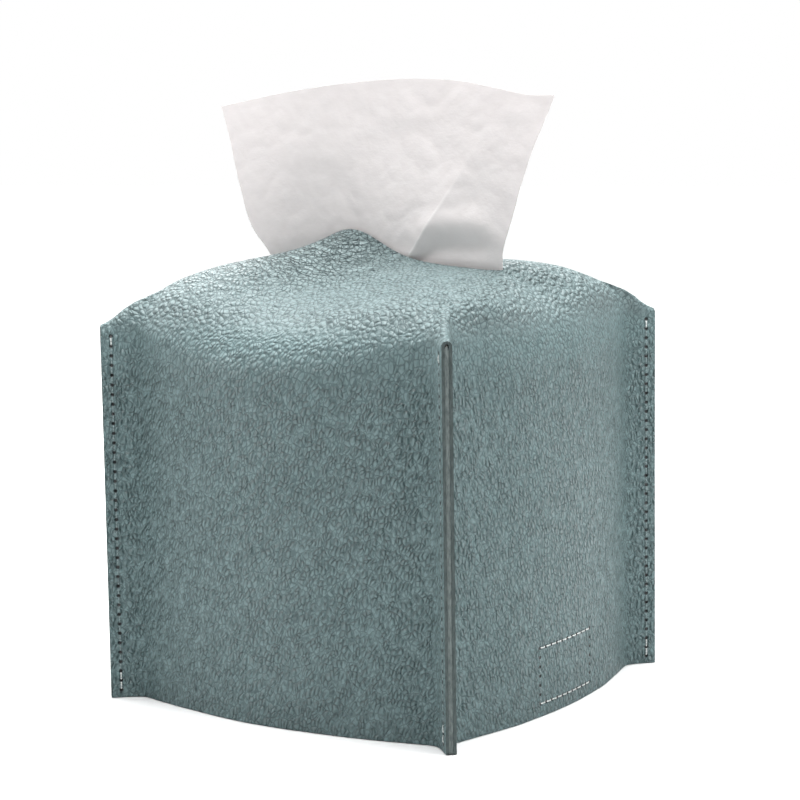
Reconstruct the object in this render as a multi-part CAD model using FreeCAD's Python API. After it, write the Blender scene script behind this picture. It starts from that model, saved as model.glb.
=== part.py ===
import FreeCAD, Part
import math
import os

# A soft square cover for a cube carton of tissues, in millimetres.
# +Z is up, the hem stands on z = 0 and the origin lies under the middle of the cover.
# Top and sides are one sheet. At each corner two neighbouring sides meet back to back
# as a fin of two plies that points out along the diagonal. The slit runs along X.

# Sheet
cover_width = 130.0              # fin edge to fin edge, along X and along Y
leather_thickness = 0.95
glue_line = 0.05
lining_thickness = 0.45
lining_setback = 0.3             # the lining stops this short of the leather's cut edges

# Walls
seam_height = 120.0              # hem to the top of a fin
wall_bulge = 2.6                 # middle of a side, proud of the fin edges
wall_bow = 12.0                  # fall from the middle of a side towards its corners
crease_radius = 1.5              # softness of the crease where a side turns into a fin
ply_bond = 5.0                   # width over which the two plies of a fin stay together
ply_parting = 0.1                # between the two plies of lining where they part
fin_cap = 5.0                    # leather left over the top of a fin, above its lining

# Top
shoulder_start = 106.0           # a side starts to turn in, at its middle
shoulder_height = 124.0          # the turn is over, at the middle of a side
corner_height = 126.4            # the turn is over, above a fin
front_lip_height = 140.0
back_lip_height = 142.0
lip_crown = 2.5                  # the lips rise this much from the slit's ends to its middle
lip_tilt_share = 0.053           # the front lip falls towards +X by this share of its run
peak_rise = 9.0                  # pinched peak on the front lip
peak_place = -12.0
peak_reach = 16.0
slit_length = 93.0
slit_width = 2.0
shoulder_power = 7.0
corner_power = 8.0
slope_power = 0.9
ridge_power = 1.5
round_power = 5.0
ridge_fade_share = 0.22          # the ridge above a fin is gone at this share of the way in
ring_share = 0.5                 # the surfaces run on inside the slit, to this share of its width

# Thread
thread_diameter = 0.6
thread_sink = 0.1                # a stitch lies this deep in the leather
thread_bend = 0.45
stitch_pitch = 3.1
stitch_gap = 0.7                 # between two stitches, at their shared hole
stitch_inset = 3.0               # from the edge of a fin to its seam
seam_margin = 2.5                # from the hem and the fin's top to the seam's ends
lock_gap = 0.1                   # from a stitch's leg to the middle of what it sews

# Straps under the carton
strap_width = 38.0
strap_thickness = 1.2
strap_lift = 1.0                 # from the floor to the long strap
strap_corner_radius = 6.0
strap_overlap = 20.0
short_strap_reach = 34.0         # from its fold to its free end
short_strap_step = 8.0           # run of the step that lifts it over the long strap
short_strap_foot = 4.0           # from its fold to the foot of the step
fold_inset = 3.6                 # from the outside of the wall to the fold line
fold_gap = 0.4
root_height = 24.5
root_seat_gap = 0.1
box_width = 32.0                 # stitched rectangle that holds a strap's root
box_height = 17.6
box_bottom = 4.1

# Hook and loop patches
patch_width = 30.0
patch_margin = 1.5               # from a strap's free end to its patch
hook_thickness = 1.5
loop_thickness = 1.5
closure_gap = 0.3
patch_stitch_inset = 2.0

# Tissue
tissue_thickness = 0.4
tissue_top = 198.0
tissue_corner_drop = 7.0
tissue_tail_height = 122.0
tissue_tail_width = 84.0
tissue_mouth_height = 140.0
tissue_mouth_width = 90.0
tissue_top_width = 132.0
tissue_fold_start = 150.0
tissue_fold_depth = 5.0
tissue_fold_turn = 3.6           # radians of wave across half the sheet
tissue_fold_phase = 0.7

cut_overrun = 1.0
match_gap = 0.1                  # an edge this close to a plane lies on it

# Places of the control points, as shares
column_shares = (0, 0.14, 0.28, 0.42, 0.54, 0.64, 0.72, 0.78, 0.82, 0.85, 0.88, 0.91, 0.94, 0.97)
wall_shares = (0, 0.06, 0.22, 0.42, 0.62, 0.8, 0.92, 1)
dome_shares = (0.994, 0.974, 0.94, 0.89, 0.82, 0.72, 0.6, 0.48, 0.36, 0.24, 0.14, 0.06)
root_shares = (-1, -0.66, -0.33, 0, 0.33, 0.66, 1)
tissue_row_shares = (0, 0.15, 0.3, 0.42, 0.54, 0.66, 0.78, 0.9, 1)
tissue_column_shares = (-1, -0.85, -0.7, -0.5, -0.3, -0.1, 0.1, 0.3, 0.5, 0.7, 0.85, 1)

half = cover_width / 2
reach = half + wall_bulge
ply = leather_thickness + glue_line + lining_thickness
root2 = math.sqrt(2)
slit_half = slit_length / 2
thread_radius = thread_diameter / 2
X, Y, Z = FreeCAD.Vector(1, 0, 0), FreeCAD.Vector(0, 1, 0), FreeCAD.Vector(0, 0, 1)


def save(name, shape):
    shape.exportStep("parts/" + name + ".step")


def smooth(t):
    t = max(0, min(1, t))
    return t * t * (3 - 2 * t)


# Curved sheets from control points

def knots_of(count, degree):
    inner = count - degree - 1
    knots = list(range(inner + 2))
    mults = [degree + 1] + [1] * inner + [degree + 1]
    return knots, mults


def sheet_face(points):
    u_degree = min(3, len(points) - 1)
    v_degree = min(3, len(points[0]) - 1)
    u_knots, u_mults = knots_of(len(points), u_degree)
    v_knots, v_mults = knots_of(len(points[0]), v_degree)
    surface = Part.BSplineSurface()
    surface.buildFromPolesMultsKnots(points, u_mults, v_mults, u_knots, v_knots,
                                     False, False, u_degree, v_degree)
    return surface.toShape()


def closed_solid(faces):
    shell = Part.makeShell(faces)
    shell.sewShape()
    solid = Part.makeSolid(shell)
    if solid.Volume < 0:
        solid.reverse()
    return solid


# The cover's surfaces, at a depth below the outer face of the leather.
# A side has its own coordinates: u along it, v out of it.

def wall_reach(u, depth):
    side = reach - depth - wall_bow * (u / half) ** 2
    fin = abs(u) + root2 * (ply - depth)
    return (side + fin) / 2 + math.hypot((side - fin) / 2, crease_radius)


def turned(side, u, v):
    return ((v, u), (-u, v), (-v, -u), (u, -v))[side]


def half_section(depth, fin_edge):
    fin_half = (ply - depth) / root2
    tip = fin_edge - fin_half
    section = [(share * tip, wall_reach(share * tip, depth)) for share in column_shares]
    return section + [(tip, fin_edge + fin_half)] * 2 + [(fin_edge, fin_edge)]


def round_plan(u, v, depth):
    angle = math.atan2(u, v)
    spread = abs(math.cos(angle)) ** round_power + abs(math.sin(angle)) ** round_power
    radius = (reach - depth) / spread ** (1 / round_power)
    return radius * math.sin(angle), radius * math.cos(angle)


def lip_height(x, back_share):
    crown = lip_crown * (1 - (x / slit_half) ** 2)
    front = front_lip_height - lip_crown - lip_tilt_share * x
    back = back_lip_height - lip_crown
    peak = peak_rise * math.exp(-((x - peak_place) / peak_reach) ** 2) * (1 - back_share)
    return front * (1 - back_share) + back * back_share + crown, peak


def shoulder_foot(u, top):
    fin_share = min(1, abs(u) / half)
    return shoulder_start + (top - shoulder_start) * (1 - (1 - fin_share ** 2) ** 2)


def dome_point(side, u, v, depth, top, q):
    """A point of the top: q is 1 where the side ends and 0 at the slit."""
    corner_share = smooth(abs(math.atan2(u, v)) / math.atan(1))
    start = shoulder_foot(u, top)
    end = shoulder_height + (corner_height - shoulder_height) * corner_share - depth
    power = shoulder_power + (corner_power - shoulder_power) * corner_share
    slope = slope_power + (ridge_power - slope_power) * corner_share
    fade = smooth((1 - q) / ridge_fade_share)
    round_u, round_v = round_plan(u, v, depth)
    x, y = turned(side, u + (round_u - u) * fade, v + (round_v - v) * fade)
    around = math.atan2(y, x)
    lip_x = (slit_half - slit_width / 2) * math.cos(around)
    lip_y = slit_width / 2 * ring_share * math.sin(around)
    lip, peak = lip_height(lip_x, (1 + math.sin(around)) / 2)
    turn = math.sqrt(1 - q ** power)
    rise = (end - start) * turn + (lip - depth - end) * (1 - q ** slope) + peak * (1 - q) ** 3
    return FreeCAD.Vector(lip_x + (x - lip_x) * q, lip_y + (y - lip_y) * q, start + rise)


def skin(depth, fin_edge, bottom, top):
    """Solid bounded by the cover's surface at a depth, closed across the hem and inside the slit."""
    right_half = half_section(depth, fin_edge)
    section = [(-u, v) for u, v in right_half[:0:-1]] + right_half
    sides = []
    for side in range(4):
        rows = []
        for share in wall_shares:
            row = []
            for u, v in section:
                height = bottom + (shoulder_foot(u, top) - bottom) * share
                row.append(FreeCAD.Vector(*turned(side, u, v), height))
            rows.append(row)
        rows += [[dome_point(side, u, v, depth, top, q) for u, v in section] for q in dome_shares]
        lip = [dome_point(side, u, v, depth, top, 0) for u, v in section]
        plug = [FreeCAD.Vector(p.x * ring_share, p.y * ring_share, shoulder_height - depth) for p in lip]
        sides.append(sheet_face(rows + [lip] * 3 + [plug]))
    rims = []
    for height in (bottom, shoulder_height - depth):
        edges = [edge for face in sides for edge in face.Edges
                 if abs(edge.BoundBox.ZMin - height) + abs(edge.BoundBox.ZMax - height) < match_gap]
        rims.append(Part.Face(Part.Wire(Part.__sortEdges__(edges))))
    return closed_solid(sides + rims)


def slit_cut():
    side_x = (slit_length - slit_width) / 2
    side_y = slit_width / 2
    rise = front_lip_height + 2 * peak_rise + lip_crown - shoulder_start
    corners = [FreeCAD.Vector(sx * side_x, sy * side_y, shoulder_start) for sx, sy in
               ((-1, -1), (1, -1), (1, 1), (-1, 1))]
    ends = [FreeCAD.Vector(sx * slit_half, 0, shoulder_start) for sx in (1, -1)]
    edges = [Part.LineSegment(corners[0], corners[1]).toShape(),
             Part.Arc(corners[1], ends[0], corners[2]).toShape(),
             Part.LineSegment(corners[2], corners[3]).toShape(),
             Part.Arc(corners[3], ends[1], corners[0]).toShape()]
    return Part.Face(Part.Wire(edges)).extrude(Z * rise)


def cover_panel():
    outside = skin(0, half, 0, seam_height)
    cavity = skin(leather_thickness, half + cut_overrun, -cut_overrun, seam_height - fin_cap)
    return outside.cut(slit_cut()).cut(cavity)


def lining():
    face_depth = leather_thickness + glue_line
    outside = skin(face_depth, half - lining_setback, lining_setback, seam_height - fin_cap - glue_line)
    inside = skin(ply - ply_parting / 2, half - ply_bond / root2, -cut_overrun,
                  seam_height - fin_cap - glue_line)
    return outside.cut(slit_cut()).cut(inside)


# Stitches: each is a short run of thread on the surface with a leg at each end

def stitch(length, leg):
    """A stitch along local X from the origin, on the plane z = 0, with its legs pointing down."""
    run_z = thread_radius - thread_sink
    bend = thread_bend
    half_turn = bend / root2
    points = [FreeCAD.Vector(0, 0, -leg), FreeCAD.Vector(0, 0, run_z - bend),
              FreeCAD.Vector(bend - half_turn, 0, run_z - bend + half_turn),
              FreeCAD.Vector(bend, 0, run_z), FreeCAD.Vector(length - bend, 0, run_z),
              FreeCAD.Vector(length - bend + half_turn, 0, run_z - bend + half_turn),
              FreeCAD.Vector(length, 0, run_z - bend), FreeCAD.Vector(length, 0, -leg)]
    path = Part.Wire([Part.LineSegment(points[0], points[1]).toShape(),
                      Part.Arc(points[1], points[2], points[3]).toShape(),
                      Part.LineSegment(points[3], points[4]).toShape(),
                      Part.Arc(points[4], points[5], points[6]).toShape(),
                      Part.LineSegment(points[6], points[7]).toShape()])
    profile = Part.Wire([Part.Circle(points[0], Z, thread_radius).toShape()])
    return path.makePipeShell([profile], True, False)


def stitch_row(start, end, normal, leg):
    """Stitches in a row from start to end, on a face with the given normal."""
    run = end - start
    count = max(1, round(run.Length / stitch_pitch))
    pitch = run.Length / count
    along = FreeCAD.Vector(run).normalize()
    turn = FreeCAD.Rotation(along, normal.cross(along), normal)
    model = stitch(pitch - stitch_gap, leg)
    row = []
    for i in range(count):
        one = model.copy()
        one.Placement = FreeCAD.Placement(start + along * (i * pitch + stitch_gap / 2), turn)
        row.append(one)
    return row


def corner_threads():
    """Needle and bobbin thread of each corner seam, on the two faces of its fin."""
    seam_reach = (half * root2 - stitch_inset) / root2
    u = seam_reach - ply / root2
    face_offset = (wall_reach(u, 0) - u) / root2
    leg = face_offset - lock_gap
    corners = {"near": (1, -1), "right": (1, 1), "far": (-1, 1), "left": (-1, -1)}
    threads = {}
    for name, (sx, sy) in corners.items():
        seam = FreeCAD.Vector(sx * seam_reach, sy * seam_reach, 0)
        out = FreeCAD.Vector(sx / root2, -sy / root2, 0)
        for thread, normal in (("needle", out), ("bobbin", -out)):
            foot = seam + normal * face_offset
            threads[name + "_corner_" + thread + "_thread"] = Part.makeCompound(
                stitch_row(foot + Z * seam_margin, foot + Z * (seam_height - seam_margin), normal, leg))
    return threads


def wall_point(sign, u, z, depth):
    return FreeCAD.Vector(sign * wall_reach(u, depth), sign * u, z)


def wall_normal(sign, u):
    slope = -2 * wall_bow * u / half ** 2
    return FreeCAD.Vector(sign, -sign * slope, 0).normalize()


def box_thread(sign, depth, inward, leg):
    """Stitched rectangle on the wall that faces sign along X."""
    columns = max(1, round(box_width / stitch_pitch))
    low, high = box_bottom, box_bottom + box_height
    stitches = []
    for z in (low, high):
        for i in range(columns):
            u_from = box_width * (i / columns - 1 / 2)
            u_to = box_width * ((i + 1) / columns - 1 / 2)
            normal = wall_normal(sign, (u_from + u_to) / 2) * inward
            stitches += stitch_row(wall_point(sign, u_from, z, depth), wall_point(sign, u_to, z, depth),
                                   normal, leg)
    for u in (-box_width / 2, box_width / 2):
        normal = wall_normal(sign, u) * inward
        stitches += stitch_row(wall_point(sign, u, low + stitch_gap, depth),
                               wall_point(sign, u, high - stitch_gap, depth), normal, leg)
    return Part.makeCompound(stitches)


# Straps: a root sewn inside the wall, and a flap that swings down from a fold at the hem

fold_x = reach - fold_inset
fold_z = strap_lift + strap_thickness / 2
long_end = short_strap_reach - strap_overlap - fold_x
short_end = short_strap_reach - fold_x
hook_bottom = strap_lift + strap_thickness
loop_bottom = hook_bottom + hook_thickness + closure_gap
short_lift = loop_bottom + loop_thickness
patch_length = strap_overlap - 2 * patch_margin
patch_start = long_end + patch_margin


def strap_root(sign):
    """Band of strap that follows the inside of the wall, above the fold."""
    bottom = fold_z + strap_thickness / 2 + fold_gap
    front, back = [], []
    for share in root_shares:
        u = share * strap_width / 2
        front.append(wall_point(sign, u, bottom, ply + root_seat_gap))
        back.append(wall_point(sign, u, bottom, ply + root_seat_gap + strap_thickness))
    curves = []
    for points in (front, back):
        curve = Part.BSplineCurve()
        curve.interpolate(points)
        curves.append(curve.toShape())
    ends = [Part.LineSegment(front[i], back[i]).toShape() for i in (0, -1)]
    outline = Part.Wire(Part.__sortEdges__([curves[0], ends[1], curves[1], ends[0]]))
    return Part.Face(outline).extrude(Z * (root_height - bottom))


def flap(points, sign, tip_x):
    """A strap of one thickness along points in XZ, from the fold's round to a free end."""
    outline = Part.Wire(Part.makePolygon(points + [points[0]]).Edges)
    body = Part.Face(outline).extrude(Y * strap_width)
    knuckle = Part.makeCylinder(strap_thickness / 2, strap_width,
                                FreeCAD.Vector(sign * fold_x, -strap_width / 2, fold_z), Y)
    body = body.fuse(knuckle).removeSplitter()
    tips = [edge for edge in body.Edges
            if abs(edge.BoundBox.XMin - tip_x) + abs(edge.BoundBox.XMax - tip_x) < match_gap
            and edge.BoundBox.YLength < match_gap]
    return body.makeFillet(strap_corner_radius, tips)


def long_strap():
    top = strap_lift + strap_thickness
    points = [FreeCAD.Vector(x, -strap_width / 2, z) for x, z in
              ((fold_x, strap_lift), (fold_x, top), (long_end, top), (long_end, strap_lift))]
    return flap(points, 1, long_end)


def short_strap():
    foot = short_strap_foot - fold_x
    step = foot + short_strap_step
    under = [(-fold_x, strap_lift), (foot, strap_lift), (step, short_lift), (short_end, short_lift)]
    over = [(x, z + strap_thickness) for x, z in under[::-1]]
    points = [FreeCAD.Vector(x, -strap_width / 2, z) for x, z in under + over]
    return flap(points, -1, short_end)


def patch(bottom, thickness):
    return Part.makeBox(patch_length, patch_width, thickness,
                        FreeCAD.Vector(patch_start, -patch_width / 2, bottom))


def patch_thread(face_z, normal, leg):
    """Stitched rectangle on the bare side of a strap, through it and into its patch."""
    x_low, x_high = patch_start + patch_stitch_inset, patch_start + patch_length - patch_stitch_inset
    y_half = patch_width / 2 - patch_stitch_inset
    corners = [FreeCAD.Vector(x, y, face_z) for x, y in
               ((x_low, -y_half), (x_high, -y_half), (x_high, y_half), (x_low, y_half))]
    stitches = []
    for i in range(4):
        start, end = corners[i], corners[(i + 1) % 4]
        inset = (end - start).normalize() * stitch_gap
        stitches += stitch_row(start + inset, end - inset, normal, leg)
    return Part.makeCompound(stitches)


# Tissue: a thin fan that stands in the slit and waves a little above it

def tissue_width(z):
    if z < tissue_mouth_height:
        share = (z - tissue_tail_height) / (tissue_mouth_height - tissue_tail_height)
        return tissue_tail_width + (tissue_mouth_width - tissue_tail_width) * share
    share = (z - tissue_mouth_height) / (tissue_top - tissue_mouth_height)
    return tissue_mouth_width + (tissue_top_width - tissue_mouth_width) * share


def tissue_point(across, up, offset):
    top = tissue_top - tissue_corner_drop * across ** 2
    z = tissue_tail_height + (top - tissue_tail_height) * up
    rise = max(0, (z - tissue_fold_start) / (tissue_top - tissue_fold_start))
    wave = tissue_fold_depth * rise ** 2 * math.sin(tissue_fold_turn * across + tissue_fold_phase)
    return FreeCAD.Vector(across * tissue_width(z) / 2, wave + offset, z)


def tissue_sheet():
    faces = []
    nets = []
    for offset in (-tissue_thickness / 2, tissue_thickness / 2):
        net = [[tissue_point(across, up, offset) for across in tissue_column_shares]
               for up in tissue_row_shares]
        nets.append(net)
        faces.append(sheet_face(net))
    front, back = nets
    for edge in ((front[0], back[0]), (front[-1], back[-1]),
                 ([row[0] for row in front], [row[0] for row in back]),
                 ([row[-1] for row in front], [row[-1] for row in back])):
        faces.append(sheet_face([list(line) for line in edge]))
    return closed_solid(faces)


os.makedirs("parts", exist_ok=True)

save("cover_panel", cover_panel())
save("lining", lining())
for name, thread in corner_threads().items():
    save(name, thread)

needle_leg = ply + root_seat_gap + strap_thickness / 2 - lock_gap
bobbin_leg = strap_thickness / 2 - lock_gap
for name, sign in (("right", 1), ("left", -1)):
    save(name + "_box_needle_thread", box_thread(sign, 0, 1, needle_leg))
    inner_face = ply + root_seat_gap + strap_thickness
    save(name + "_box_bobbin_thread", box_thread(sign, inner_face, -1, bobbin_leg))

save("long_strap_root", strap_root(1))
save("short_strap_root", strap_root(-1))
save("long_strap", long_strap())
save("short_strap", short_strap())
save("hook_patch", patch(hook_bottom, hook_thickness))
save("loop_patch", patch(loop_bottom, loop_thickness))
patch_leg = strap_thickness + hook_thickness / 2
save("hook_patch_thread", patch_thread(strap_lift, -Z, patch_leg))
save("loop_patch_thread", patch_thread(short_lift + strap_thickness, Z, patch_leg))
save("tissue_sheet", tissue_sheet())
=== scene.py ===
import math
import random

import bmesh
import bpy
from mathutils import Matrix, Vector, noise


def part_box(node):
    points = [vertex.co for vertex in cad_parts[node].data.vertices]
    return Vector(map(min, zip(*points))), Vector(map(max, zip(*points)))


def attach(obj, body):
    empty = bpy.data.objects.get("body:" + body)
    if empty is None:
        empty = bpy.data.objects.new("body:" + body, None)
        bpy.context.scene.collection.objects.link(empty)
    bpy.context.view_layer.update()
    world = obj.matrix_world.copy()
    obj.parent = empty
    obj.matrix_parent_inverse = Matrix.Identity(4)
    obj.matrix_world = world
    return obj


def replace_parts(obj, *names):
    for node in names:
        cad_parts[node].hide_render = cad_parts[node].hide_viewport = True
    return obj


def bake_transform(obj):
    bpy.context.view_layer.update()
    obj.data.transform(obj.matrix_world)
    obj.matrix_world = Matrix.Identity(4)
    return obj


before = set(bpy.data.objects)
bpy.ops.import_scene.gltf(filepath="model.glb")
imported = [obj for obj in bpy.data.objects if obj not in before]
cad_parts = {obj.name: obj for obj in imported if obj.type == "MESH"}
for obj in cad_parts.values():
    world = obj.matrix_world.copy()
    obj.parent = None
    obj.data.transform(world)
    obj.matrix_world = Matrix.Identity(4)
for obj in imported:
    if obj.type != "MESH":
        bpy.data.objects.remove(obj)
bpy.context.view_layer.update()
dice = random.Random(7)

MM = 0.001

# Sheet: leather outside, a bonded fleece inside
half = 65.0 * MM                     # middle of the cover to the edge of a fin, along X and along Y
leather_thickness = 0.95 * MM
glue_line = 0.05 * MM
lining_thickness = 0.45 * MM
lining_setback = 0.3 * MM            # at the hem
fin_setback = 0.1 * MM
fin_start = 84.0 * MM                # from the middle, where the two linings of a fin are sewn together
fin_slack = 0.55 * MM                # how far apart their backs may lie before they are drawn together
fin_gap = 0.002 * MM                 # and after
ply = leather_thickness + glue_line + lining_thickness
root2 = math.sqrt(2)

# Walls
seam_height = 120.0 * MM
reach = half + 2.6 * MM
wall_bow = 12.0 * MM
crease_radius = 1.5 * MM
slack_end = 82.0 * MM                # from the middle; the fins past it are flat
slack_fade = 10.0 * MM
slack_swells = (38.0, 0.55 * MM), (90.0, 0.2 * MM)       # swells to a metre, and how high
cover_sharp_degrees = 75

# Top
shoulder_start = 106.0 * MM
shoulder_height = 124.0 * MM
corner_height = 126.4 * MM
front_lip_height = 140.0 * MM
back_lip_height = 142.0 * MM
lip_crown = 2.5 * MM
lip_tilt_share = 0.053
peak_rise = 9.0 * MM
peak_place = -12.0 * MM
peak_reach = 16.0 * MM
slit_half = 46.5 * MM
slit_width = 2.0 * MM
shoulder_power = 7.0
corner_power = 8.0
slope_power = 0.9
ridge_power = 2.2
round_power = 5.0
ridge_fade_share = 0.22

# Above a fin the leather turns over into a soft nose
nose_arch = 1.1 * MM
nose_arch_reach = 4.0 * MM
# where it is smoothed, from the middle, and how often
nose_rounds = (76.0 * MM, 40), (82.0 * MM, 60), (85.5 * MM, 60)

# Grain, in cells to a metre, and the furrows under the pinched lip
wall_pebbles = 710.0
top_pebbles = 590.0
furrow_cells = 490.0
furrow_middle = -30.0 * MM, -14.0 * MM
furrow_spread = 36.0 * MM, 21.0 * MM

# Stitching
stitch_pitch = 3.1 * MM
stitch_inset = 3.0 * MM
seam_margin = 2.5 * MM
seam_reach = half * root2 - stitch_inset
box_width = 32.0 * MM
box_height = 17.6 * MM
box_bottom = 4.1 * MM
needle_hole = 0.74 * MM
thread_radius = 0.2 * MM

# Straps
strap_width = 38.0 * MM
strap_thickness = 1.2 * MM
strap_tip_radius = 6.0 * MM
strap_fold_radius = 1.0 * MM
root_seat = 0.1 * MM

long_strap_tip = 50.0 * MM           # past the middle, towards the other side
short_strap_tip = -30.0 * MM
short_strap_foot = 4.0 * MM
short_strap_step = 8.0 * MM
short_strap_rise = 4.5 * MM
root_top = 24.5 * MM
fold_height = 1.6 * MM

# Hook and loop tapes
tape_base = 0.5 * MM
hook_spacing = 1.5 * MM
loop_spacing = 1.15 * MM
nylon_radius = 0.09 * MM

# Tissue: its outline in the plane of the slit, as (place, height) or (height, place)
tissue_top_edge = ((-64.5, 190.2), (-32.0, 194.7), (0.0, 197.5), (26.0, 196.7), (45.0, 193.4),
                   (55.0, 191.4), (63.6, 191.2))
tissue_left_edge = ((122.0, -42.0), (139.0, -45.0), (150.0, -53.5), (165.0, -58.0), (179.0, -61.0),
                    (191.0, -64.5))
tissue_right_edge = ((122.0, 42.0), (135.0, 45.0), (143.0, 45.4), (153.0, 48.6), (167.0, 53.0),
                     (181.0, 59.0), (191.0, 63.6))
tissue_crease = Vector((30.0, 168.0)), Vector((9.0, 139.0))
tissue_tail = 122.0
tissue_thickness = 0.16 * MM

# How finely the sheets are divided
side_columns = 46                    # from the middle of a side to a fin
crest_columns = 4                    # across half the edge of a fin
wall_rows = 38
dome_rows = 46
dome_row_power = 1.7
root_rows, fold_rows, flap_rows = 8, 6, 56
strap_columns = 24
tissue_columns, tissue_rows = 150, 100


def smooth(t):
    t = max(0.0, min(1.0, t))
    return t * t * (3 - 2 * t)


def along_points(points, at):
    """Height of a smooth line through a few points (place, height)."""
    last = len(points) - 2
    i = max([0] + [k for k in range(last + 1) if points[k][0] <= at])
    (x0, y0), (x1, y1) = points[i], points[i + 1]
    before, after = points[max(0, i - 1)], points[min(last + 1, i + 2)]
    slope0 = (y1 - before[1]) / (x1 - before[0])
    slope1 = (after[1] - y0) / (after[0] - x0)
    run = x1 - x0
    t = max(0.0, min(1.0, (at - x0) / run))
    return ((1 + 2 * t) * (1 - t) ** 2 * y0 + t * (1 - t) ** 2 * run * slope0
            + t * t * (3 - 2 * t) * y1 - t * t * (1 - t) * run * slope1)


# The cover's surface, at a depth below the face of the leather.
# A side has its own coordinates: u along it, v out of it.

def wall_reach(u, depth):
    side = reach - depth - wall_bow * (u / half) ** 2
    fin = abs(u) + root2 * (ply - depth)
    return (side + fin) / 2 + math.hypot((side - fin) / 2, crease_radius)


def turned(side, u, v):
    return ((v, u), (-u, v), (-v, -u), (u, -v))[side]


def round_plan(u, v, depth):
    angle = math.atan2(u, v)
    spread = abs(math.cos(angle)) ** round_power + abs(math.sin(angle)) ** round_power
    radius = (reach - depth) / spread ** (1 / round_power)
    return radius * math.sin(angle), radius * math.cos(angle)


def lip_height(x, back_share):
    crown = lip_crown * (1 - (x / slit_half) ** 2)
    front = front_lip_height - lip_crown - lip_tilt_share * x
    back = back_lip_height - lip_crown
    peak = peak_rise * math.exp(-((x - peak_place) / peak_reach) ** 2) * (1 - back_share)
    return front * (1 - back_share) + back * back_share + crown, peak


def shoulder_foot(u, top):
    fin_share = min(1, abs(u) / half)
    return shoulder_start + (top - shoulder_start) * (1 - (1 - fin_share ** 2) ** 2)


def dome_point(side, u, v, depth, top, q):
    """A point of the top: q is 1 where the side ends and 0 at the slit."""
    corner_share = smooth(abs(math.atan2(u, v)) / math.atan(1))
    start = shoulder_foot(u, top)
    end = shoulder_height + (corner_height - shoulder_height) * corner_share - depth
    power = shoulder_power + (corner_power - shoulder_power) * corner_share
    slope = slope_power + (ridge_power - slope_power) * corner_share
    fade = smooth((1 - q) / ridge_fade_share)
    round_u, round_v = round_plan(u, v, depth)
    x, y = turned(side, u + (round_u - u) * fade, v + (round_v - v) * fade)
    around = math.atan2(y, x)
    lip_x = (slit_half - slit_width / 2) * math.cos(around)
    lip_y = slit_width / 2 * math.sin(around)
    lip, peak = lip_height(lip_x, (1 + math.sin(around)) / 2)
    turn = math.sqrt(1 - q ** power)
    rise = (end - start) * turn + (lip - depth - end) * (1 - q ** slope) + peak * (1 - q) ** 3
    return Vector((lip_x + (x - lip_x) * q, lip_y + (y - lip_y) * q, start + rise))


# Finishes

class Finish:
    """A procedural material on a Principled shader."""

    def __init__(self, name):
        self.material = bpy.data.materials.new(name)
        self.material.use_nodes = True
        self.tree = self.material.node_tree
        self.shader = self.tree.nodes["Principled BSDF"]
        self.place = self.node("ShaderNodeTexCoord").outputs["Object"]

    def feed(self, socket, value):
        if isinstance(value, bpy.types.NodeSocket):
            self.tree.links.new(value, socket)
        else:
            socket.default_value = value

    def node(self, kind, inputs=None, **settings):
        made = self.tree.nodes.new(kind)
        for name, value in settings.items():
            setattr(made, name, value)
        for name, value in (inputs or {}).items():
            self.feed(made.inputs[name], value)
        return made

    def calc(self, operation, *values):
        made = self.node("ShaderNodeMath", operation=operation)
        for socket, value in zip(made.inputs, values):
            self.feed(socket, value)
        return made.outputs[0]

    def vector(self, operation, *values):
        made = self.node("ShaderNodeVectorMath", operation=operation)
        for socket, value in zip(made.inputs, values):
            self.feed(socket, value)
        return made.outputs[0]

    def fade(self, value, low, high, start=0.0, end=1.0):
        sockets = {"Value": value, "From Min": low, "From Max": high, "To Min": start, "To Max": end}
        return self.node("ShaderNodeMapRange", sockets, interpolation_type="SMOOTHSTEP").outputs["Result"]

    def blend(self, share, first, second):
        made = self.node("ShaderNodeMix", data_type="RGBA")
        for index, value in ((0, share), (6, first), (7, second)):
            self.feed(made.inputs[index], value)
        return made.outputs[2]

    def noise(self, place, scale, detail=2.0, output="Factor"):
        sockets = {"Vector": place, "Scale": scale, "Detail": detail}
        made = self.node("ShaderNodeTexNoise", sockets)
        return made.outputs["Color" if output == "Color" else 0]

    def cells(self, place, scale, feature="DISTANCE_TO_EDGE"):
        sockets = {"Vector": place, "Scale": scale}
        return self.node("ShaderNodeTexVoronoi", sockets, feature=feature).outputs["Distance"]

    def stretched(self, place, scale, turn=(0, 0, 0)):
        sockets = {"Vector": place, "Scale": scale, "Rotation": turn}
        return self.node("ShaderNodeMapping", sockets).outputs["Vector"]

    def attribute(self, name):
        return self.node("ShaderNodeAttribute", attribute_name=name).outputs["Fac"]

    def bump(self, height, distance, strength=1.0):
        sockets = {"Height": height, "Distance": distance, "Strength": strength}
        self.tree.links.new(self.node("ShaderNodeBump", sockets).outputs["Normal"],
                            self.shader.inputs["Normal"])

    def set(self, **values):
        for name, value in values.items():
            self.feed(self.shader.inputs[name.replace("_", " ")], value)


def hole_mask(finish, along, across, start, pitch, count, size):
    """1 at the needle holes of a straight row of stitches, 0 away from them."""
    steps = finish.calc("DIVIDE", finish.calc("SUBTRACT", along, start), pitch)
    nearest = finish.calc("ROUND", finish.calc("MAXIMUM", finish.calc("MINIMUM", steps, count), 0.0))
    off = finish.calc("MULTIPLY", finish.calc("SUBTRACT", steps, nearest), pitch)
    square = finish.calc("ADD", finish.calc("MULTIPLY", off, off), finish.calc("MULTIPLY", across, across))
    return finish.fade(finish.calc("SQRT", square), 0.45 * size, size, 1.0, 0.0)


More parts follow.
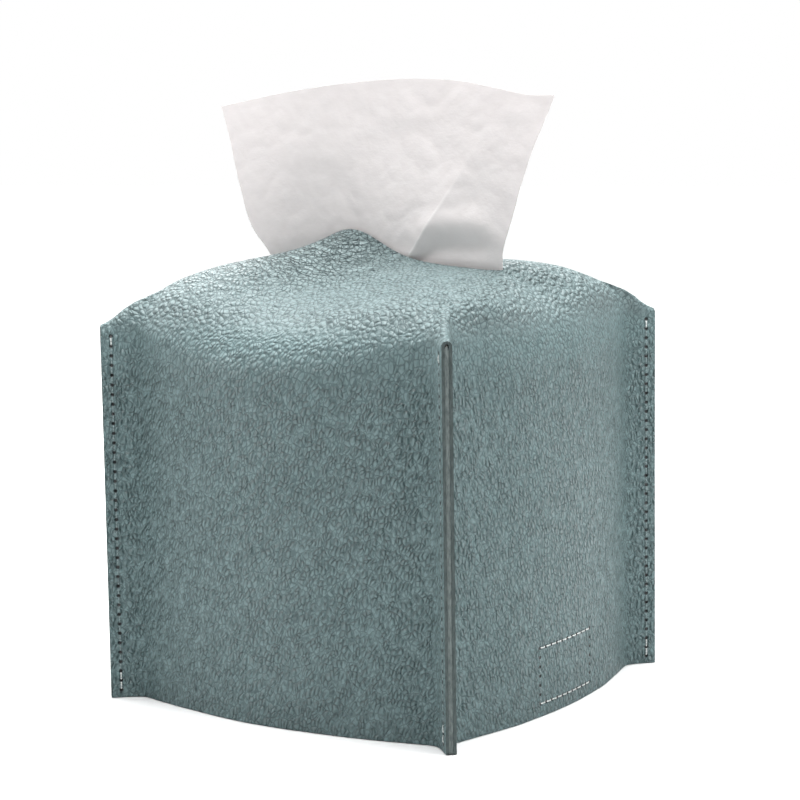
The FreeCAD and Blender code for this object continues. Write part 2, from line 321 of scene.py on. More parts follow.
def leather_finish():
    """Dusty teal leather: small domed pebbles with painted shade in the crevices between them and in the furrows
    under the lip, the pulled lip painted lighter and the top painted greyer as painted light, and needle holes
    along its seams painted dark for the shade inside them.
    """
    f = Finish("pebbled_leather")
    warp = f.vector("SCALE", f.vector("SUBTRACT", f.noise(f.place, 210.0, 2.0, "Color"), (0.5, 0.5, 0.5)))
    warp.node.inputs["Scale"].default_value = 2.4 * MM
    leaning = f.stretched(f.vector("ADD", f.place, warp), (1.0, 1.0, 1.0), (-0.38, -0.36, 0.0))
    place = f.stretched(leaning, (1.0, 1.0, 0.5))
    patchy = f.fade(f.noise(f.place, 150.0, 2.0), 0.32, 0.66)
    axes = f.node("ShaderNodeSeparateXYZ", {"Vector": f.place}).outputs

    swept = f.stretched(f.vector("ADD", f.place, warp), (1.0, 1.0, 1.0), (0.0, 0.0, -0.58))
    swept = f.stretched(swept, (1.0, 0.62, 1.0))
    crease = f.attribute("crease")
    on_top = f.fade(axes["Z"], shoulder_start + 10 * MM, shoulder_height + 2 * MM)
    pulled = f.calc("MULTIPLY", on_top, f.fade(crease, 0.0, 0.4, 0.68, 0.9))
    off_top = f.calc("SUBTRACT", 1.0, on_top)
    wall_dome = f.fade(f.cells(place, wall_pebbles, "F1"), 0.08, 0.7, 1.0, 0.0)
    top_dome = f.fade(f.cells(swept, top_pebbles, "F1"), 0.08, 0.7, 1.0, 0.0)
    pebble = f.calc("ADD", f.calc("MULTIPLY", wall_dome, off_top), f.calc("MULTIPLY", top_dome, on_top))
    # Painted shade: the crevices between the pebbles are darkened in colour, on the walls and where the top is
    # pulled.
    wall_crease_shade = f.fade(f.cells(place, wall_pebbles), 0.0, 0.18, 0.58, 0.0)
    top_crease_shade = f.fade(f.cells(swept, top_pebbles), 0.0, 0.14, 1.0, 0.0)
    painted_crease_shade = f.calc("ADD", f.calc("MULTIPLY", wall_crease_shade, off_top), f.calc("MULTIPLY", top_crease_shade, pulled))
    ruck = f.noise(place, 560.0, 2.0)
    skin = f.noise(f.place, 1900.0, 3.0)
    pebbles = f.calc("ADD", f.calc("MULTIPLY", pebble, 0.75), f.calc("MULTIPLY", ruck, 0.5))
    on_shoulder = f.fade(axes["Z"], shoulder_start - 4 * MM, shoulder_start + 10 * MM, 1.0, 0.48)
    on_crown = f.fade(axes["Z"], shoulder_height + 3 * MM, shoulder_height + 13 * MM, 1.0, 1.7)
    pebbles = f.calc("MULTIPLY", f.calc("MULTIPLY", pebbles, on_shoulder), on_crown)

    from_peak = f.calc("SUBTRACT", axes["X"], peak_place)
    ring = f.calc("SQRT", f.calc("ADD", f.calc("MULTIPLY", from_peak, from_peak),
                                 f.calc("MULTIPLY", axes["Y"], axes["Y"])))
    around = f.calc("MULTIPLY", f.calc("ARCTAN2", axes["Y"], from_peak), 3.0 * MM)
    rings = f.vector("ADD", f.node("ShaderNodeCombineXYZ", {"X": ring, "Y": around}).outputs[0], warp)
    furrow = f.cells(rings, furrow_cells)
    furrows = f.calc("MULTIPLY", f.fade(furrow, 0.0, 0.14), f.calc("MULTIPLY", crease, 0.6))
    grain = f.calc("ADD", f.calc("MULTIPLY", pebbles, f.fade(crease, 0.0, 1.0, 1.0, 0.6)), furrows)

    side_x, side_y = f.calc("ABSOLUTE", axes["X"]), f.calc("ABSOLUTE", axes["Y"])
    diagonal = f.calc("DIVIDE", f.calc("ADD", side_x, side_y), root2)
    seam_run = seam_height - 2 * seam_margin
    seam_count = round(seam_run / stitch_pitch)
    seam = hole_mask(f, axes["Z"], f.calc("SUBTRACT", diagonal, seam_reach), seam_margin,
                     seam_run / seam_count, seam_count, needle_hole)
    row_count = round(box_width / stitch_pitch)
    rows = [hole_mask(f, axes["Y"], f.calc("SUBTRACT", axes["Z"], height), -box_width / 2,
                      box_width / row_count, row_count, needle_hole)
            for height in (box_bottom, box_bottom + box_height)]
    column_count = round(box_height / stitch_pitch)
    column = hole_mask(f, axes["Z"], f.calc("SUBTRACT", side_y, box_width / 2), box_bottom,
                       box_height / column_count, column_count, needle_hole)
    box = f.calc("MAXIMUM", f.calc("MAXIMUM", *rows), column)
    on_wall = f.calc("GREATER_THAN", side_x, half - 6 * MM)
    holes = f.calc("MAXIMUM", seam, f.calc("MULTIPLY", box, on_wall))

    height = f.calc("ADD", grain, f.calc("MULTIPLY", skin, 0.08))
    height = f.calc("SUBTRACT", height, f.calc("MULTIPLY", holes, 1.2))
    f.bump(height, 1.9 * MM, 1.0)

    tone = f.blend(f.fade(f.noise(f.place, 34.0, 3.0), 0.3, 0.7),
                   (0.145, 0.224, 0.230, 1), (0.154, 0.233, 0.239, 1))
    # Painted light: the top is painted a darker, greyer teal than the walls, for the sheen that greys it.
    tone = f.blend(f.calc("MULTIPLY", on_top, 0.6), tone, (0.140, 0.184, 0.187, 1))
    painted_crease_shade = f.calc("MULTIPLY", painted_crease_shade, f.fade(patchy, 0.0, 1.0, 0.82, 1.0))
    # Painted shade along the furrows under the pinched lip, broken up at random.
    furrow_shade = f.calc("MULTIPLY", f.fade(furrow, 0.0, 0.055, 0.75, 0.0), f.fade(crease, 0.1, 0.7))
    furrow_shade = f.calc("MULTIPLY", furrow_shade, f.fade(f.noise(f.place, 200.0, 2.0), 0.3, 0.48))
    crevice_shade = f.calc("MAXIMUM", painted_crease_shade, furrow_shade)
    # Painted light: the leather pulled under the pinched lip is painted lighter.
    tone = f.blend(f.calc("MULTIPLY", crease, 0.8), tone, (0.215, 0.278, 0.280, 1))
    # All the painted shade of crevices and furrows goes on as a near-black.
    tone = f.blend(crevice_shade, tone, (0.030, 0.045, 0.048, 1))
    # Painted shade: the needle holes are painted near-black for the shade inside them; their dent is in the
    # bump.
    tone = f.blend(holes, tone, (0.006, 0.008, 0.009, 1))
    f.set(Base_Color=tone, Roughness=f.fade(grain, 0.3, 1.0, 0.54, 0.4))
    f.set(Specular_IOR_Level=f.fade(crevice_shade, 0.0, 1.0, 0.5, 0.1))
    return f.material


def raw_edge_finish():
    """The cut edge of the leather: a dark coated line over a felted core."""
    f = Finish("raw_leather_edge")
    fibre = f.noise(f.stretched(f.place, (1.0, 1.0, 0.25)), 1900.0, 4.0)
    f.bump(fibre, 0.12 * MM, 0.6)
    f.set(Base_Color=f.blend(f.fade(fibre, 0.3, 0.7), (0.055, 0.072, 0.072, 1), (0.092, 0.116, 0.115, 1)))
    f.set(Roughness=0.85, Specular_IOR_Level=0.2)
    return f.material


def fleece_edge_finish():
    """The cut edge of the fleece, in a darker grey-teal than the fleece's face."""
    f = Finish("trimmed_fleece_edge")
    fibre = f.noise(f.stretched(f.place, (1.0, 1.0, 0.3)), 1500.0, 4.0)
    f.bump(fibre, 0.2 * MM, 0.7)
    f.set(Base_Color=f.blend(f.fade(fibre, 0.3, 0.7), (0.102, 0.126, 0.125, 1), (0.190, 0.222, 0.218, 1)))
    f.set(Roughness=0.95, Specular_IOR_Level=0.1)
    return f.material


def fleece_finish():
    """Grey-brown napped knit on the inside of the leather."""
    f = Finish("grey_fleece")
    nap = f.noise(f.place, 1500.0, 5.0)
    loops = f.cells(f.place, 900.0)
    height = f.calc("ADD", nap, f.calc("MULTIPLY", loops, 0.8))
    f.bump(height, 0.25 * MM, 0.7)
    patchy = f.fade(f.noise(f.place, 120.0, 3.0), 0.3, 0.7)
    tone = f.blend(patchy, (0.215, 0.198, 0.178, 1), (0.262, 0.244, 0.222, 1))
    f.set(Base_Color=f.blend(f.fade(nap, 0.35, 0.65), tone, (0.330, 0.312, 0.288, 1)))
    f.set(Roughness=0.95, Specular_IOR_Level=0.1, Sheen_Weight=0.3, Sheen_Roughness=0.6)
    return f.material


def thread_finish(name, dark, pale):
    """Twisted polyester thread."""
    f = Finish(name)
    lay = f.stretched(f.place, (1.0, 1.0, 1.0), (0.6, 0.4, 0.0))
    twist = f.node("ShaderNodeTexWave", {"Vector": lay, "Scale": 420.0, "Distortion": 1.2, "Detail": 1.0},
                   bands_direction="Z").outputs["Fac"]
    f.bump(twist, 0.08 * MM, 0.7)
    f.set(Base_Color=f.blend(twist, dark, pale))
    f.set(Roughness=0.55, Sheen_Weight=0.25)
    return f.material


def nylon_finish(name, dark, pale):
    """Dyed nylon of the closing tapes."""
    f = Finish(name)
    weave = f.noise(f.place, 1800.0, 3.0)
    f.bump(weave, 0.1 * MM, 0.5)
    f.set(Base_Color=f.blend(f.fade(weave, 0.3, 0.7), dark, pale))
    f.set(Roughness=0.6, Sheen_Weight=0.2)
    return f.material


def tissue_finish():
    """Soft warm-white paper with a faint crepe, and one pressed crease painted whiter: partly its doubled paper,
    partly a painted highlight on its crest.
    """
    f = Finish("soft_tissue")
    crepe = f.noise(f.stretched(f.place, (1.0, 1.0, 2.2)), 620.0, 3.0)
    crumple = f.noise(f.stretched(f.place, (1.0, 1.0, 1.0), (0.0, 0.5, 0.0)), 170.0, 5.0)
    first, last = (Vector((end.x, 0, end.y)) * MM for end in tissue_crease)
    along = (last - first).normalized()
    offset = f.vector("SUBTRACT", f.place, first)
    beside = f.node("ShaderNodeVectorMath", {0: offset, 1: Vector((along.z, 0, -along.x))},
                    operation="DOT_PRODUCT").outputs["Value"]
    down = f.node("ShaderNodeVectorMath", {0: offset, 1: along}, operation="DOT_PRODUCT").outputs["Value"]
    line = f.calc("MULTIPLY", f.fade(f.calc("ABSOLUTE", beside), 0.1 * MM, 0.8 * MM, 0.8, 0.0),
                  f.fade(down, -4 * MM, 22 * MM))
    height = f.calc("ADD", f.calc("MULTIPLY", crepe, 0.12), crumple)
    height = f.calc("ADD", height, f.calc("MULTIPLY", line, 0.3))
    f.bump(height, 0.7 * MM, 0.32)
    paper = f.blend(f.fade(crumple, 0.3, 0.7), (0.830, 0.774, 0.768, 1), (0.845, 0.792, 0.787, 1))
    # Painted light: the crease line is painted whiter, partly for its doubled paper, partly as a highlight on
    # its crest.
    f.set(Base_Color=f.blend(line, paper, (0.93, 0.885, 0.878, 1)))
    f.set(Roughness=0.9, Specular_IOR_Level=0.1, Subsurface_Weight=0.25, Subsurface_Scale=1 * MM)
    f.set(Subsurface_Radius=(1.0, 1.0, 1.0))
    return f.material


leather = leather_finish()
raw_edge = raw_edge_finish()
fleece = fleece_finish()
fleece_edge = fleece_edge_finish()
pale_thread = thread_finish("pale_thread", (0.50, 0.54, 0.53, 1), (0.74, 0.77, 0.76, 1))
# A copy of the thread painted teal: painted shade, for thread sunk in its holes out of the light.
shaded_thread = thread_finish("shaded_thread", (0.14, 0.20, 0.205, 1), (0.24, 0.31, 0.315, 1))
hook_nylon = nylon_finish("hook_nylon", (0.085, 0.125, 0.130, 1), (0.130, 0.180, 0.185, 1))
loop_nylon = nylon_finish("loop_nylon", (0.115, 0.165, 0.170, 1), (0.180, 0.240, 0.245, 1))
tissue_paper = tissue_finish()


# Making pieces

def add_piece(name, mesh_maker, materials, sharp_degrees=40):
    """A mesh object at the origin, smooth but for its sharp edges."""
    mesh = bpy.data.meshes.new(name)
    for material in materials:
        mesh.materials.append(material)
    mesh_maker.to_mesh(mesh)
    mesh_maker.free()
    mesh.shade_smooth()
    mesh.set_sharp_from_angle(angle=math.radians(sharp_degrees))
    piece = bpy.data.objects.new(name, mesh)
    bpy.context.scene.collection.objects.link(piece)
    return piece


def thicken(bm, thickness):
    """Gives a sheet its thickness, away from its face, and returns the faces of its cut edge."""
    face_side = set(bm.faces)
    made = bmesh.ops.solidify(bm, geom=list(bm.faces), thickness=thickness)["geom"]
    back_side = {part for part in made if isinstance(part, bmesh.types.BMFace)}
    return [face for face in bm.faces if face not in face_side and face not in back_side]


def side_sheet(bm, side, depth, fin_edge, bottom, top):
    """One side of the cover with its quarter of the top, from a flat grid."""
    columns = side_columns + crest_columns
    rows = wall_rows + dome_rows
    grid = bmesh.ops.create_grid(bm, x_segments=2 * columns, y_segments=rows, size=1)["verts"]
    fin_half = (ply - depth) / root2
    tip = fin_edge - fin_half
    on_edge = set()
    for vert in grid:
        column = round((vert.co.x + 1) * columns) - columns
        row = round((vert.co.y + 1) / 2 * rows)
        if abs(column) <= side_columns:
            t = abs(column) / side_columns
            u = tip * (t + 0.5 * t * (1 - t))
            v = wall_reach(u, depth)
        else:
            across = (abs(column) - side_columns) / crest_columns
            u = tip + fin_half * across
            v = fin_edge + fin_half * (1 - across)
        u = math.copysign(u, column)
        if row <= wall_rows:
            height = bottom + (shoulder_foot(u, top) - bottom) * row / wall_rows
            vert.co = Vector((*turned(side, u, v), height))
        else:
            q = 1 - ((row - wall_rows) / dome_rows) ** dome_row_power
            vert.co = dome_point(side, u, v, depth, top, max(0.0, q))
        if row >= wall_rows and abs(column) >= side_columns:
            across = 1 - (abs(column) - side_columns) / crest_columns
            arch = nose_arch * math.sqrt(1 - across ** 2)
            vert.co.z += arch * max(0.0, 1 - (vert.co.z - top) / nose_arch_reach)
        if abs(column) > side_columns and row < wall_rows:
            on_edge.add(vert)
    bmesh.ops.delete(bm, geom=list(on_edge), context="VERTS")


def cover_sheet(depth, fin_edge, bottom, top):
    """The whole cross-cut panel: four sides that run on into one top, open at the hem, fins and slit."""
    bm = bmesh.new()
    for side in range(4):
        side_sheet(bm, side, depth, fin_edge, bottom, top)
    bmesh.ops.remove_doubles(bm, verts=list(bm.verts), dist=0.001 * MM)
    for from_middle, passes in nose_rounds:
        nose = [vert for vert in bm.verts if not vert.is_boundary and vert.co.z > top + 0.2 * MM
                and abs(vert.co.x) + abs(vert.co.y) > from_middle * root2]
        for _ in range(passes):
            bmesh.ops.smooth_vert(bm, verts=nose, factor=0.5, use_axis_x=True, use_axis_y=True, use_axis_z=True)
    bm.normal_update()
    outward = sum(face.normal.dot(face.calc_center_median()) for face in bm.faces)
    if outward < 0:
        bmesh.ops.reverse_faces(bm, faces=list(bm.faces))
        bm.normal_update()
    return bm


def crease_share(point):
    """How much the leather is pulled into furrows: most under the pinched lip."""
    if point.z < shoulder_height:
        return 0.0
    along = math.exp(-((point.x - furrow_middle[0]) / furrow_spread[0]) ** 2)
    below = math.exp(-((point.y - furrow_middle[1]) / furrow_spread[1]) ** 2)
    return along * below


def cover_leather():
    """The outside: slack between the fins, and calm at the slit and where a strap is sewn on."""
    bm = cover_sheet(0.0, half, 0.0, seam_height)
    for vert in bm.verts:
        fins = smooth((slack_end - (abs(vert.co.x) + abs(vert.co.y)) / root2) / slack_fade)
        slack = sum(noise.noise(vert.co * scale) * height for scale, height in slack_swells)
        box = max(smooth((vert.co.z - 24 * MM) / (14 * MM)), smooth((abs(vert.co.y) - 18 * MM) / (10 * MM)))
        calm = box if abs(vert.co.x) > 50 * MM else smooth(abs(vert.co.y) / (12 * MM))
        vert.co += vert.normal * slack * fins * calm
    crease = bm.verts.layers.float.new("crease")
    for vert in bm.verts:
        vert[crease] = crease_share(vert.co)
    for face in thicken(bm, leather_thickness):
        face.material_index = 1
    return add_piece("cover_leather", bm, [leather, raw_edge], cover_sharp_degrees)


def cover_lining():
    """The inside: its two plies meet back to back in each fin."""
    depth = leather_thickness + glue_line
    bm = cover_sheet(depth, half - fin_setback, lining_setback, seam_height - ply)
    for face in thicken(bm, lining_thickness):
        face.material_index = 1
    for vert in bm.verts:
        x, y, z = vert.co
        apart = abs(x) - abs(y)
        in_fin = abs(x) + abs(y) > fin_start * root2 and z < seam_height - ply + 0.05 * MM
        if in_fin and abs(apart) < fin_slack:
            shift = (apart - math.copysign(fin_gap, apart)) / 2
            vert.co = Vector((x - shift * math.copysign(1, x), y + shift * math.copysign(1, y), z))
    return add_piece("fleece_lining", bm, [fleece, fleece_edge], cover_sharp_degrees)


cover = cover_leather()
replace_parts(cover, "cover_panel")
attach(cover, "cover")

lining = cover_lining()
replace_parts(lining, "lining")
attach(lining, "cover")


# Stitches: each a short run of thread that dips into a needle hole at both ends

def bent_filament(line, radius, segments):
    """One filament along a short line of points, as a tube of few faces."""
    bm = bmesh.new()
    ring = bmesh.ops.create_circle(bm, segments=segments, radius=radius, cap_ends=True)["verts"]
    start = (line[1] - line[0]).to_track_quat("Z", "Y").to_matrix().to_4x4()
    bmesh.ops.transform(bm, verts=ring, matrix=Matrix.Translation(line[0]) @ start)
    bm.faces.ensure_lookup_table()
    face = bm.faces[0]
    for here, there in zip(line, line[1:]):
        made = bmesh.ops.extrude_discrete_faces(bm, faces=[face])["faces"]
        face = made[0]
        bmesh.ops.translate(bm, verts=list(face.verts), vec=there - here)
    bmesh.ops.holes_fill(bm, edges=list(bm.edges), sides=segments)
    bmesh.ops.recalc_face_normals(bm, faces=list(bm.faces))
    filament = bpy.data.meshes.new("filament")
    bm.to_mesh(filament)
    bm.free()
    return filament


def lay_filament(bm, filament, place, material=0):
    verts, faces = len(bm.verts), len(bm.faces)
    bm.from_mesh(filament)
    bm.verts.ensure_lookup_table()
    bm.faces.ensure_lookup_table()
    bmesh.ops.transform(bm, verts=bm.verts[verts:], matrix=place)
    for face in bm.faces[faces:]:
        face.material_index = material


def stitch_line(rise):
    """A stitch along X from hole to hole, its middle raised off the leather."""
    heights = ((0.04, -0.45), (0.18, -0.04 + rise), (0.34, 0.1 + rise), (0.66, 0.1 + rise),
               (0.82, -0.04 + rise), (0.96, -0.45))
    return [Vector((stitch_pitch * share, 0, height * MM)) for share, height in heights]


def lay_stitch(bm, filament, start, end, normal, material):
    along = (end - start).normalized()
    turn = Matrix((along, normal.cross(along), normal)).transposed().to_4x4()
    stretch = Matrix.Diagonal(((end - start).length / stitch_pitch, 1, 1, 1))
    lay_filament(bm, filament, Matrix.Translation(start) @ turn @ stretch, material)


def corner_stitches():
    """Both faces of each corner seam: sunk thread painted teal with shade, doubled and in the pale thread where
    a seam starts and ends.
    """
    bm = bmesh.new()
    sunk = bent_filament(stitch_line(-0.06), thread_radius, 6)
    proud = bent_filament(stitch_line(0.08), 1.2 * thread_radius, 6)
    u = (seam_reach - ply) / root2
    face_offset = (wall_reach(u, 0) - u) / root2
    run = seam_height - 2 * seam_margin
    count = round(run / stitch_pitch)
    for sx, sy in ((1, -1), (1, 1), (-1, 1), (-1, -1)):
        for face in (1, -1):
            normal = Vector((sx * face, -sy * face, 0)) / root2
            foot = Vector((sx, sy, 0)) * seam_reach / root2 + normal * face_offset
            holes = [foot + Vector((0, 0, seam_margin + run * i / count)) for i in range(count + 1)]
            for i in range(count):
                doubled = i < 2 or i > count - 2
                lay_stitch(bm, proud if doubled else sunk, holes[i], holes[i + 1], normal, 1 if doubled else 0)
    return add_piece("corner_stitches", bm, [shaded_thread, pale_thread])


def wall_point(sign, y, z):
    return Vector((sign * wall_reach(y, 0), y, z))


def box_stitches():
    """The stitched rectangle that holds each strap, seen on the outside of its wall: rows in pale thread,
    columns in the thread painted with shade.
    """
    bm = bmesh.new()
    sunk = bent_filament(stitch_line(-0.04), thread_radius, 6)
    proud = bent_filament(stitch_line(0.06), 1.1 * thread_radius, 6)
    columns, rows = round(box_width / stitch_pitch), round(box_height / stitch_pitch)
    sides = [box_width * (i / columns - 0.5) for i in range(columns + 1)]
    levels = [box_bottom + box_height * i / rows for i in range(rows + 1)]
    for sign in (1, -1):
        for z in (levels[0], levels[-1]):
            for y0, y1 in zip(sides, sides[1:]):
                normal = Vector((sign, wall_bow * (y0 + y1) / half ** 2, 0)).normalized()
                lay_stitch(bm, proud, wall_point(sign, y0, z), wall_point(sign, y1, z), normal, 1)
        for y in (sides[0], sides[-1]):
            normal = Vector((sign, 2 * wall_bow * y / half ** 2, 0)).normalized()
            for z0, z1 in zip(levels, levels[1:]):
                lay_stitch(bm, sunk, wall_point(sign, y, z0), wall_point(sign, y, z1), normal, 0)
    return add_piece("box_stitches", bm, [shaded_thread, pale_thread])


seams = corner_stitches()
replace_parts(seams, *(corner + "_corner_" + ply_side + "_thread" for corner in ("near", "right", "far", "left")
                     for ply_side in ("needle", "bobbin")))
boxes = box_stitches()
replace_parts(boxes, "right_box_needle_thread", "left_box_needle_thread")
for stitches in (seams, boxes):
    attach(stitches, "cover")

for name in ("right_box_bobbin_thread", "left_box_bobbin_thread", "hook_patch_thread", "loop_patch_thread"):
    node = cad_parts[name]
    node.data.materials.clear()
    node.data.materials.append(pale_thread)


# Straps: each is one strip, sewn inside its wall, that folds in under the carton

def strap_point(row, across, tip, rise):
    """A point of a strap in its own side's frame: x out through the wall, y along it."""
    y = across * strap_width / 2
    wall = wall_reach(y, ply + root_seat + strap_thickness / 2)
    fold_top = fold_height + strap_fold_radius
    if row <= root_rows:
        return Vector((wall, y, root_top + (fold_top - root_top) * row / root_rows))
    if row <= root_rows + fold_rows:
        angle = math.pi / 2 * (row - root_rows) / fold_rows
        x = wall - strap_fold_radius * (1 - math.cos(angle))
        return Vector((x, y, fold_top - strap_fold_radius * math.sin(angle)))
    left = 1 - (row - root_rows - fold_rows) / flap_rows
    start = wall - strap_fold_radius
    x = start - (start + tip) * (1 - left ** 1.5)
    from_tip = max(0.0, strap_tip_radius - (x + tip))
    narrowed = strap_tip_radius - math.sqrt(max(0.0, strap_tip_radius ** 2 - from_tip ** 2))
    lift = rise * smooth((start - x - short_strap_foot) / short_strap_step)
    return Vector((x, across * (strap_width / 2 - narrowed), fold_height + lift))


def strap(name, sign, tip, rise):
    """A strap of one strip, from its root on the cover to its flap."""
    bm = bmesh.new()
    rows = root_rows + fold_rows + flap_rows
    grid = bmesh.ops.create_grid(bm, x_segments=rows, y_segments=strap_columns, size=1)["verts"]
    for vert in grid:
        vert.co = strap_point(round((vert.co.x + 1) / 2 * rows), vert.co.y, tip, rise)
    bmesh.ops.rotate(bm, verts=grid, cent=(0, 0, 0), matrix=Matrix.Rotation(0 if sign > 0 else math.pi, 3, "Z"))
    bm.normal_update()
    lowest = min(bm.faces, key=lambda face: face.calc_center_median().z)
    if lowest.normal.z > 0:
        bmesh.ops.reverse_faces(bm, faces=list(bm.faces))
        bm.normal_update()
    for vert in bm.verts:
        vert.co += vert.normal * strap_thickness / 2
    face_side = set(bm.faces)
    for face in thicken(bm, strap_thickness):
        face.material_index = 1
    for face in bm.faces:
        if face not in face_side and face.material_index == 0:
            face.material_index = 2
    piece = add_piece(name, bm, [leather, raw_edge, fleece])
    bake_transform(piece)
    return piece


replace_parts(strap("long_band", 1, long_strap_tip, 0.0), "long_strap", "long_strap_root")
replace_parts(strap("short_band", -1, short_strap_tip, short_strap_rise),
            "short_strap", "short_strap_root")


# Hook and loop: a tape with its field of bent nylon

def tape_patch(name, node, down, spacing, line, finish):
    """A tape on a strap's face, with filaments in staggered rows."""
    low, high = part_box(node)
    seat, out = (high.z, -1) if down else (low.z, 1)
    bm = bmesh.new()
    base = bmesh.ops.create_cube(bm, size=1)["verts"]
    bmesh.ops.scale(bm, verts=base, vec=(high.x - low.x, high.y - low.y, tape_base))
    bmesh.ops.translate(bm, verts=base, vec=((low.x + high.x) / 2, 0, seat + out * tape_base / 2))
    rim = [edge for edge in bm.edges if abs(edge.verts[0].co.z - edge.verts[1].co.z) > tape_base / 2]
    bmesh.ops.bevel(bm, geom=rim, offset=0.8 * MM, affect="EDGES", segments=3, profile=0.5, material=-1)
    tape = bpy.data.meshes.new("tape")
    bm.to_mesh(tape)
    bm.free()
    bm = bmesh.new()
    bm.from_mesh(tape)
    filament = bent_filament(line, nylon_radius, 4)
    rows = round((high.x - low.x) / spacing) - 1
    columns = round((high.y - low.y) / spacing) - 1
    for i in range(rows):
        for j in range(columns):
            x = low.x + (high.x - low.x) * (i + 1) / (rows + 1) + spacing * dice.uniform(-0.16, 0.16)
            y = low.y + (high.y - low.y) * (j + 1) / (columns + 1) + spacing * (i % 2 - 0.5) * 0.5
            turn = Matrix.Rotation(dice.uniform(0, math.tau), 4, "Z")
            seat_place = Matrix.Translation((x, y, seat + out * tape_base))
            flip = Matrix.Rotation(math.pi, 4, "X") if down else Matrix.Identity(4)
            lay_filament(bm, filament, seat_place @ flip @ turn)
    piece = add_piece(name, bm, [finish])
    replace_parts(piece, node)
    return piece


hook_line = [Vector(point) * MM for point in
             ((0, 0, -0.1), (0, 0, 0.5), (0.1, 0, 0.78), (0.3, 0, 0.86), (0.46, 0, 0.74), (0.5, 0, 0.55))]
loop_line = [Vector((0.35 * math.cos(turn), 0, 0.95 * math.sin(turn) - 0.1)) * MM
             for turn in (math.pi * step / 6 for step in range(7))]
hooks = tape_patch("hook_tape", "hook_patch", False, hook_spacing, hook_line, hook_nylon)
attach(hooks, "long_strap")
loops = tape_patch("loop_tape", "loop_patch", True, loop_spacing, loop_line, loop_nylon)
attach(loops, "short_strap")


# Tissue: a fan of soft paper that stands in the slit

def tissue_fold(x, z):
    """How far the tissue stands off the plane of the slit, in millimetres; towards the front is less."""
    rise = smooth((z - 143) / 42)
    wave = 2.2 * rise * math.sin(x / 15.5 + 0.9) * (1 - (x / 66) ** 2)
    lean = 1.2 * rise * math.sin(x / 40)
    first, last = tissue_crease
    run = last - first
    offset = Vector((x, z)) - first
    along = offset.dot(run) / run.length_squared
    beside = abs(offset.x * run.y - offset.y * run.x) / run.length
    held = smooth((along + 0.3) / 0.6) * smooth((z - 138) / 4)
    crease = -0.5 * max(0.0, 1 - beside / 9) * held
    right = smooth((x - 9) / 9) * smooth((z - 136) / 5)
    brow = 140.5 + 8.0 * smooth((x - 8) / 14)
    roll = right * (-0.9 * math.exp(-((z - brow - 3) / 5) ** 2) + 0.9 * math.exp(-((z - brow + 4) / 3.6) ** 2))
    roll *= 1 - smooth((x - 36) / 9)
    place = Vector((x, z, 0.0))
    rumple = 0.4 * noise.noise(place / 19) + 0.35 * (0.3 - abs(noise.noise(place / 12 + Vector((5, 3, 1)))))
    rumple += 0.25 * (0.25 - abs(noise.noise(place / 6.5 + Vector((2, 9, 4)))))
    return wave + lean + crease + roll + rumple * smooth((z - 139) / 8)


def tissue_sheet():
    bm = bmesh.new()
    grid = bmesh.ops.create_grid(bm, x_segments=tissue_columns, y_segments=tissue_rows, size=1)["verts"]
    for vert in grid:
        across, up = (vert.co.x + 1) / 2, (vert.co.y + 1) / 2
        top_x = tissue_top_edge[0][0] + (tissue_top_edge[-1][0] - tissue_top_edge[0][0]) * across
        z = tissue_tail + (along_points(tissue_top_edge, top_x) - tissue_tail) * up
        left, right = along_points(tissue_left_edge, z), along_points(tissue_right_edge, z)
        x = left + (right - left) * across
        vert.co = Vector((x, tissue_fold(x, z), z)) * MM
    bm.normal_update()
    for vert in bm.verts:
        vert.co += vert.normal * tissue_thickness / 2
    thicken(bm, tissue_thickness)
    return add_piece("tissue", bm, [tissue_paper], 60)


tissue = tissue_sheet()
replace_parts(tissue, "tissue_sheet")
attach(tissue, "tissue")


# Camera at the photograph's angle
camera_azimuth = math.radians(33.48836)
camera_elevation = math.radians(6.98387)
camera_roll = math.radians(-0.8163)
camera_distance = 704.459 * MM
camera_lens = 96.617
aim_aside = 4.8219 * MM
aim_height = 93.4025 * MM


def add_camera():
    back = Vector((math.sin(camera_azimuth) * math.cos(camera_elevation),
                   -math.cos(camera_azimuth) * math.cos(camera_elevation),
                   math.sin(camera_elevation)))
    right = Vector((math.cos(camera_azimuth), math.sin(camera_azimuth), 0))
    up = back.cross(right)
    level_right = right * math.cos(camera_roll) + up * math.sin(camera_roll)
    level_up = up * math.cos(camera_roll) - right * math.sin(camera_roll)
    place = right * aim_aside + Vector((0, 0, aim_height)) + back * camera_distance
    data = bpy.data.cameras.new("camera")
    data.lens = camera_lens
    data.sensor_width = 36
    camera = bpy.data.objects.new("camera", data)
    camera.matrix_world = Matrix.Translation(place) @ Matrix((level_right, level_up, back)).transposed().to_4x4()
    bpy.context.scene.collection.objects.link(camera)
    bpy.context.scene.camera = camera


def add_lamp(name, place, target, size, power):
    data = bpy.data.lights.new(name, "AREA")
    data.shape = "DISK"
    data.size = size
    data.energy = power
    lamp = bpy.data.objects.new(name, data)
    aim = (Vector(target) - Vector(place)).to_track_quat("-Z", "Y")
    lamp.matrix_world = Matrix.Translation(place) @ aim.to_matrix().to_4x4()
    bpy.context.scene.collection.objects.link(lamp)


def seen_directly(tree):
    """1 on rays that show the background itself: from the camera, in gloss and through glass."""
    path = tree.nodes.new("ShaderNodeLightPath")
    total = path.outputs["Is Camera Ray"]
    for name in ("Is Glossy Ray", "Is Transmission Ray"):
        either = tree.nodes.new("ShaderNodeMath")
        either.operation = "MAXIMUM"
        tree.links.new(total, either.inputs[0])
        tree.links.new(path.outputs[name], either.inputs[1])
        total = either.outputs[0]
    return total


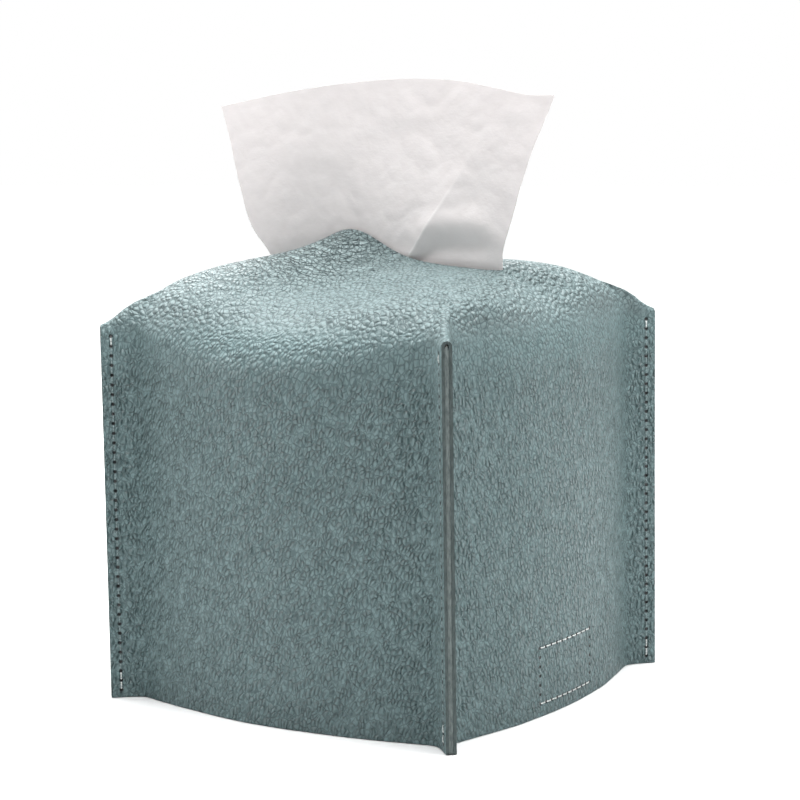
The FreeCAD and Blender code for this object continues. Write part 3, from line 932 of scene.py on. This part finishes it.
def add_floor():
    bm = bmesh.new()
    bmesh.ops.create_grid(bm, x_segments=1, y_segments=1, size=6)
    bmesh.ops.translate(bm, verts=list(bm.verts), vec=(0, 0, -0.2 * MM))
    floor = add_piece("floor", bm, [floor_finish()])


def floor_finish():
    """White paper sweep: matt, and lifted to white where it is seen, more so away from the cover."""
    f = Finish("white_sweep")
    f.set(Base_Color=(0.86, 0.86, 0.86, 1), Roughness=1.0, Specular_IOR_Level=0.0)
    away = f.node("ShaderNodeVectorMath", {0: f.place}, operation="LENGTH").outputs["Value"]
    lift = f.calc("MULTIPLY", seen_directly(f.tree), f.fade(away, 0.1, 0.5, 0.0, 0.93))
    glow = f.node("ShaderNodeEmission", {"Color": (1, 1, 1, 1), "Strength": lift})
    both = f.node("ShaderNodeAddShader", {0: f.shader.outputs[0], 1: glow.outputs[0]})
    f.feed(f.tree.nodes["Material Output"].inputs["Surface"], both.outputs[0])
    return f.material


def add_world():
    world = bpy.data.worlds.new("studio")
    bpy.context.scene.world = world
    world.use_nodes = True
    tree = world.node_tree
    plain = tree.nodes["Background"]
    plain.inputs["Color"].default_value = (1, 1, 1, 1)
    plain.inputs["Strength"].default_value = 0.13
    white = tree.nodes.new("ShaderNodeBackground")
    white.inputs["Color"].default_value = (1, 1, 1, 1)
    white.inputs["Strength"].default_value = 1.0
    choice = tree.nodes.new("ShaderNodeMixShader")
    tree.links.new(seen_directly(tree), choice.inputs[0])
    tree.links.new(plain.outputs[0], choice.inputs[1])
    tree.links.new(white.outputs[0], choice.inputs[2])
    tree.links.new(choice.outputs[0], tree.nodes["World Output"].inputs["Surface"])


add_camera()
add_lamp("overhead", (0.04, -0.01, 0.95), (0, 0, 0.10), 0.7, 18.2)
add_lamp("back_light", (-0.58, 0.62, 0.70), (0, 0, 0.12), 0.7, 6.4)
add_lamp("left_fill", (-0.88, -0.14, 0.50), (0, 0, 0.09), 0.5, 3.4)
add_lamp("right_fill", (0.60, 0.10, 0.85), (0, 0, 0.11), 0.5, 3.0)
add_floor()
add_world()
bpy.context.scene.view_settings.view_transform = "Standard"
